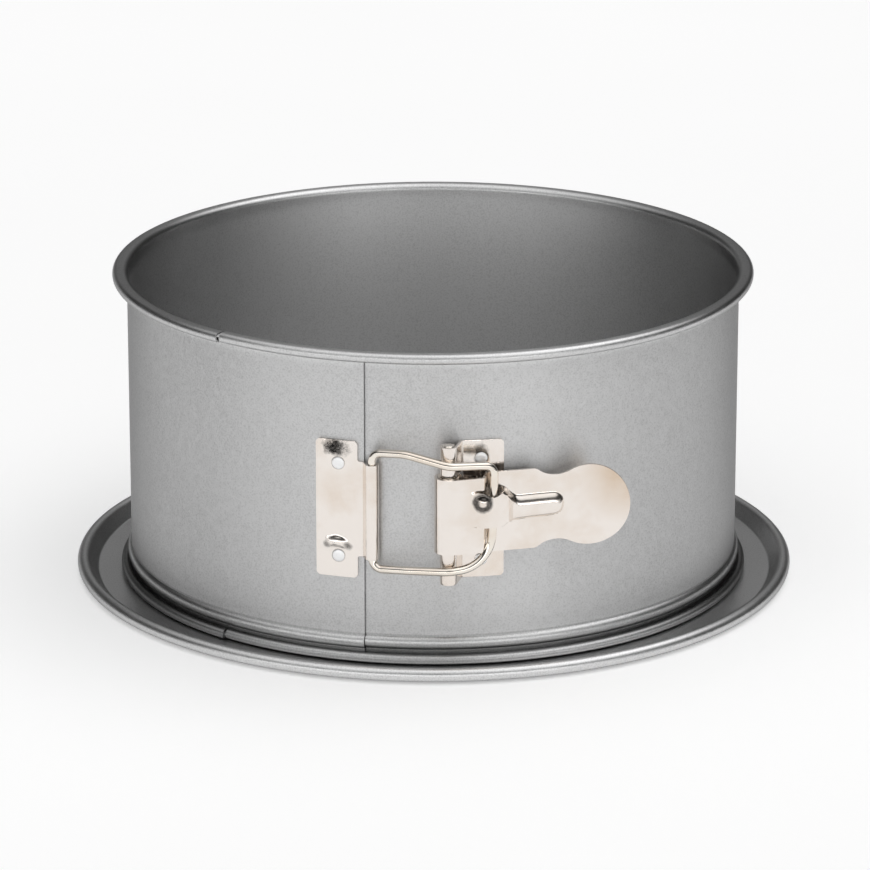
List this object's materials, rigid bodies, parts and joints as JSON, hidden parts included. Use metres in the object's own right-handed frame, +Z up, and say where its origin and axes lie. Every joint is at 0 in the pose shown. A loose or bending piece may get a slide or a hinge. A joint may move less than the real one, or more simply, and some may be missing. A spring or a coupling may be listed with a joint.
{
  "type": "deep cake tin",
  "caption": "Deep round cake tin with a spring-form band that an over-centre lever and wire bail pull shut round a lipped base.",
  "frame": {"origin": "middle of the base's underside, on the table", "axes": "+Z up, the tin's axis; the latch faces -Y; the lever's tip points towards +X"},
  "size_m": [0.286, 0.286, 0.1244],
  "materials": {
    "band_steel": "matt tinned steel sheet",
    "base_steel": "matt tinned steel sheet",
    "latch_plate": "bright nickel plate",
    "latch_wire": "bright nickel plate",
    "rivet": "plain soft aluminium"
  },
  "bodies": {
    "base": {"base_tray": "base_steel"},
    "ring": {"band": "band_steel", "lever_bracket": "latch_plate", "hinge_pin": "latch_wire", "bracket_rivet_upper": "rivet", "bracket_rivet_lower": "rivet"},
    "ring_end": {"keeper_plate": "latch_plate", "keeper_rivet_upper": "rivet", "keeper_rivet_lower": "rivet"},
    "bail": {"bail": "latch_wire"},
    "lever": {"lever": "latch_plate"}
  },
  "joints": [
    {"name": "ring_lift", "type": "slide", "parent": "base", "child": "ring", "axis": [0, 0, 1], "range_m": [0, 0.13]},
    {"name": "lever_swing", "type": "hinge", "parent": "ring", "child": "lever", "pos_m": [0.00557, -0.12804, 0.0631], "axis": [0, 0, -1], "range_deg": [0, 85]},
    {"name": "ring_opening", "type": "hinge", "parent": "ring", "child": "ring_end", "pos_m": [0, 0.1203, 0.0626], "axis": [0, 0, -1], "range_deg": [0, 2.1], "deforming": ["band"]},
    {"name": "bail_swing", "type": "hinge", "parent": "ring_end", "child": "bail", "pos_m": [-0.02317, -0.12251, 0.0626], "axis": [0, 0, -1], "range_deg": [0, 25]}
  ],
  "couplings": [
    {"joint": "ring_opening", "follows": "lever_swing", "ratio": 0.024},
    {"joint": "bail_swing", "follows": "lever_swing", "ratio": 0.2875}
  ]
}
